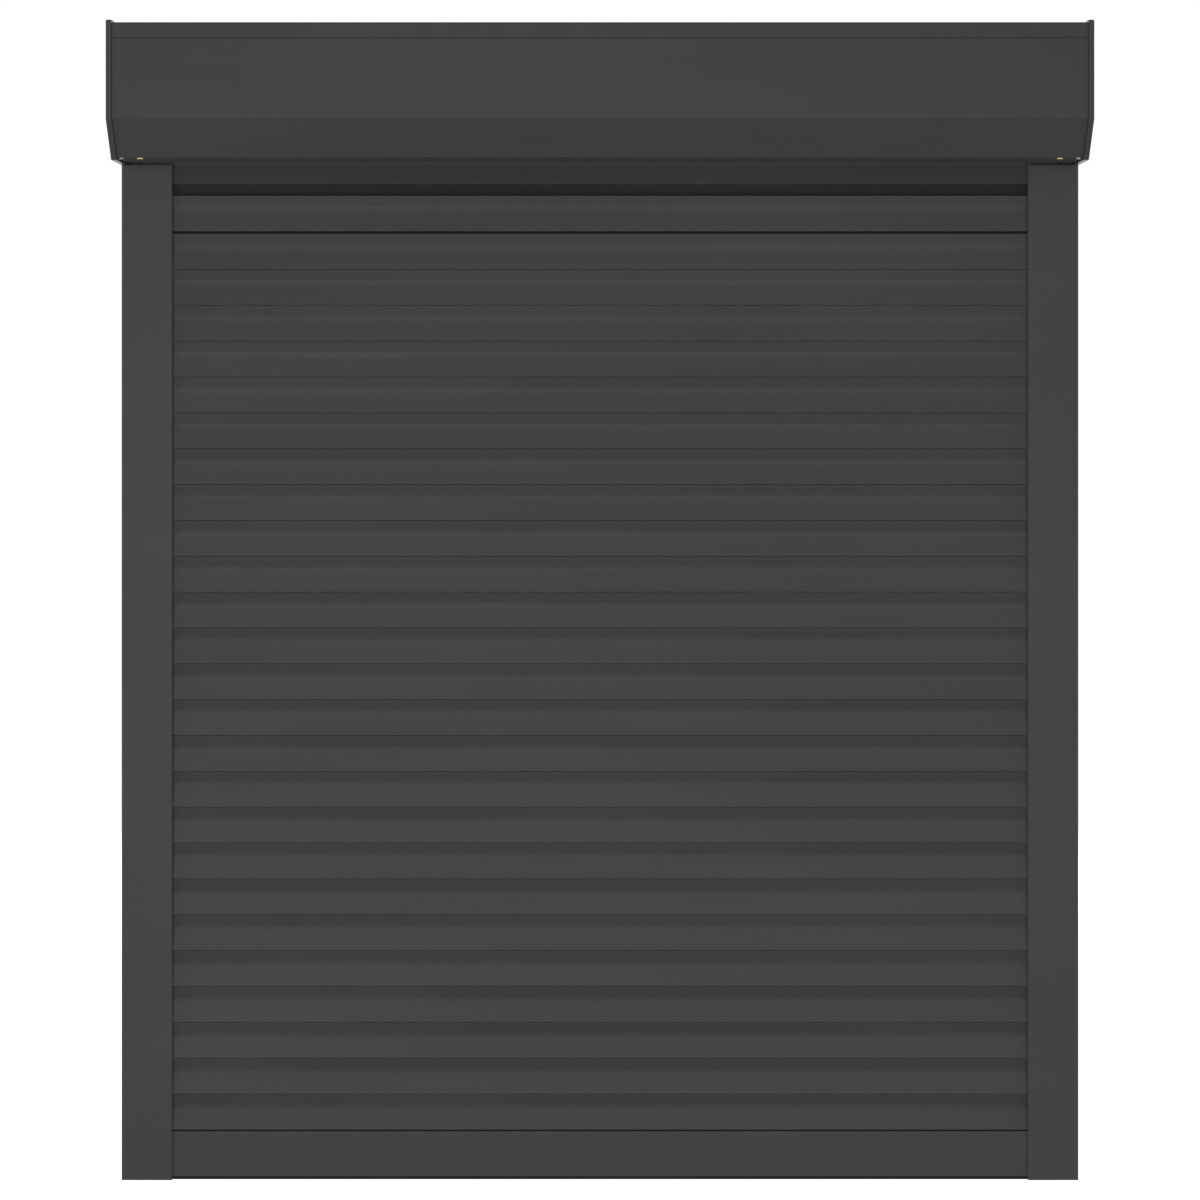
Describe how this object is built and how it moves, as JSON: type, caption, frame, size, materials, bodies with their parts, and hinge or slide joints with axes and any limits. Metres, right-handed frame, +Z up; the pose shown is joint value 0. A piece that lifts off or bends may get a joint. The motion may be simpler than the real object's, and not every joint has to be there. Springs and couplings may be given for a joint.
{
  "type": "exterior roller shutter",
  "caption": "Exterior roller shutter, closed: slanted box housing with end caps, guide rails, curtain of interlocking bowed slats, bottom bar with rubber seal, and a strap-driven roller inside.",
  "frame": {"origin": "on the wall plane, at the middle of the width, at the lower ends of the rails", "axes": "+X to the right seen from the front, +Y into the wall, +Z up; the front faces -Y"},
  "size_m": [1, 0.137, 1.2],
  "materials": {
    "paint": "fine-textured anthracite powder coat on aluminium",
    "rubber": "matt black rubber",
    "plastic": "matt black plastic",
    "steel": "galvanised steel",
    "brass": "yellow-passivated screws"
  },
  "bodies": {
    "frame": {"housing_top_cover": "paint", "housing_front_cover": "paint", "housing_rear_panel": "paint", "end_cap_left": "paint", "end_cap_right": "paint", "cover_rivets": "paint", "rail_left": "paint", "rail_right": "paint", "inlet_strip": "rubber", "seal_left_front": "rubber", "seal_left_rear": "rubber", "seal_right_front": "rubber", "seal_right_rear": "rubber", "inlet_guide_left": "plastic", "inlet_guide_right": "plastic", "strap_inlet": "plastic", "underside_rivets": "steel", "bearing_left": "steel", "bearing_right": "steel", "cover_screws": "brass"},
    "roller": {"roller_tube": "steel", "roller_plug_left": "plastic", "roller_plug_right": "plastic", "strap_pulley": "plastic", "hanger_springs": "steel"},
    "curtain": {"bottom_bar": "paint", "bottom_seal": "rubber", "bar_plug_left": "plastic", "bar_plug_right": "plastic", "slat_01": "paint", "slat_02": "paint", "slat_03": "paint", "slat_04": "paint", "slat_05": "paint", "slat_06": "paint", "slat_07": "paint", "slat_08": "paint", "slat_09": "paint", "slat_10": "paint", "slat_11": "paint", "slat_12": "paint", "slat_13": "paint", "slat_14": "paint", "slat_15": "paint", "slat_16": "paint", "slat_17": "paint", "slat_18": "paint", "slat_19": "paint", "slat_20": "paint", "slat_21": "paint", "slat_22": "paint", "slat_23": "paint", "slat_24": "paint", "slat_25": "paint", "slat_26": "paint", "slat_27": "paint"}
  },
  "joints": [
    {"name": "curtain_lift", "type": "slide", "parent": "frame", "child": "curtain", "axis": [0, 0, 1], "range_m": [0, 0.095], "deforming": ["hanger_springs"]},
    {"name": "roller_turn", "type": "hinge", "parent": "frame", "child": "roller", "pos_m": [0, -0.0685, 1.1303], "axis": [1, 0, 0], "range_deg": [0, 270]}
  ],
  "couplings": [
    {"joint": "roller_turn", "follows": "curtain_lift", "rad_per_m": 48.5}
  ]
}
